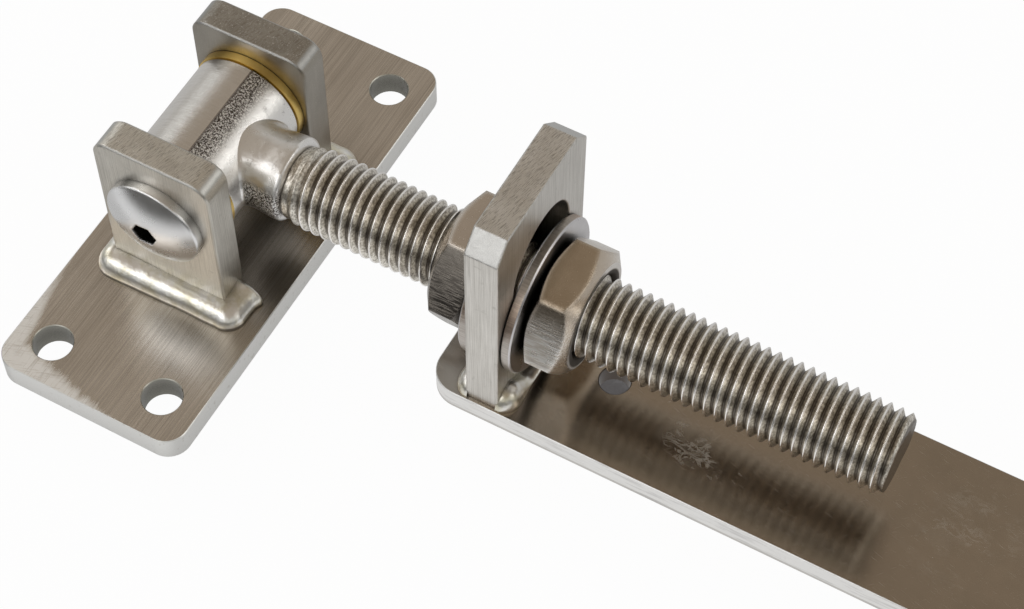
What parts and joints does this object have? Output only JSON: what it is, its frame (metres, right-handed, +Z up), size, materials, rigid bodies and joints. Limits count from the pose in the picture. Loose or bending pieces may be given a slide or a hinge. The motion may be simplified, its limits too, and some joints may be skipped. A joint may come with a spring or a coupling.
{
  "type": "adjustable door hinge",
  "caption": "Adjustable door hinge: a bolt-on plate with lugs and a pivot pin, a swinging threaded eye bolt, and a slotted strap bracket clamped between jam nuts.",
  "frame": {"origin": "centre of the base plate's underside, on the face that bears on the post", "axes": "+X along the threaded stud and the strap, away from the base plate; +Y along the pivot pin and the long side of the base plate; +Z up from the base plate"},
  "size_m": [0.2896, 0.12, 0.0709],
  "materials": {
    "plate_steel": "brushed stainless plate with a fine grain along its length",
    "lug_steel": "satin stainless with ground corners",
    "weld_bead": "bright rippled weld bead with faint golden heat tint",
    "polished_steel": "polished stainless",
    "stud_steel": "bright turned stainless with a rough cast band on the barrel",
    "bush_bronze": "turned bearing bronze",
    "nut_steel": "bright machined stainless",
    "washer_steel": "satin stainless",
    "strap_steel": "smooth mill-finished stainless with light scratches"
  },
  "bodies": {
    "post_plate": {"base_plate": "plate_steel", "front_lug": "lug_steel", "rear_lug": "lug_steel", "front_lug_weld": "weld_bead", "rear_lug_weld": "weld_bead", "pivot_sleeve": "polished_steel", "pivot_screw": "polished_steel"},
    "eye": {"eye_bolt": "stud_steel", "front_bush": "bush_bronze", "rear_bush": "bush_bronze"},
    "carriage": {"inner_washer": "washer_steel"},
    "inner_nut": {"inner_nut": "nut_steel"},
    "outer_nut": {"outer_nut": "nut_steel"},
    "turn_ring": {"outer_washer": "washer_steel"},
    "bracket": {"bracket_lug": "lug_steel", "strap": "strap_steel", "bracket_weld_inner": "weld_bead", "bracket_weld_outer": "weld_bead"}
  },
  "joints": [
    {"name": "swing", "type": "hinge", "parent": "post_plate", "child": "eye", "pos_m": [0, 0, 0.0333], "axis": [0, -1, 0], "range_deg": [0, 180]},
    {"name": "reach", "type": "slide", "parent": "eye", "child": "carriage", "axis": [1, 0, 0], "range_m": [-0.03556, 0.06858]},
    {"name": "inner_nut_turn", "type": "hinge", "parent": "carriage", "child": "inner_nut", "pos_m": [0.0674, 0, 0.0333], "axis": [1, 0, 0], "range_deg": [-5041, 9721]},
    {"name": "outer_nut_turn", "type": "hinge", "parent": "carriage", "child": "outer_nut", "pos_m": [0.0908, 0, 0.0333], "axis": [1, 0, 0], "range_deg": [-5041, 9721]},
    {"name": "swivel", "type": "hinge", "parent": "carriage", "child": "turn_ring", "pos_m": [0.0843, 0, 0.0333], "axis": [1, 0, 0], "continuous": true},
    {"name": "slot_slide", "type": "slide", "parent": "turn_ring", "child": "bracket", "axis": [0, 0, 1], "range_m": [-0.0168, 0.0016]}
  ],
  "couplings": [
    {"joint": "inner_nut_turn", "follows": "reach", "rad_per_m": 2473.7},
    {"joint": "outer_nut_turn", "follows": "reach", "rad_per_m": 2473.7}
  ]
}
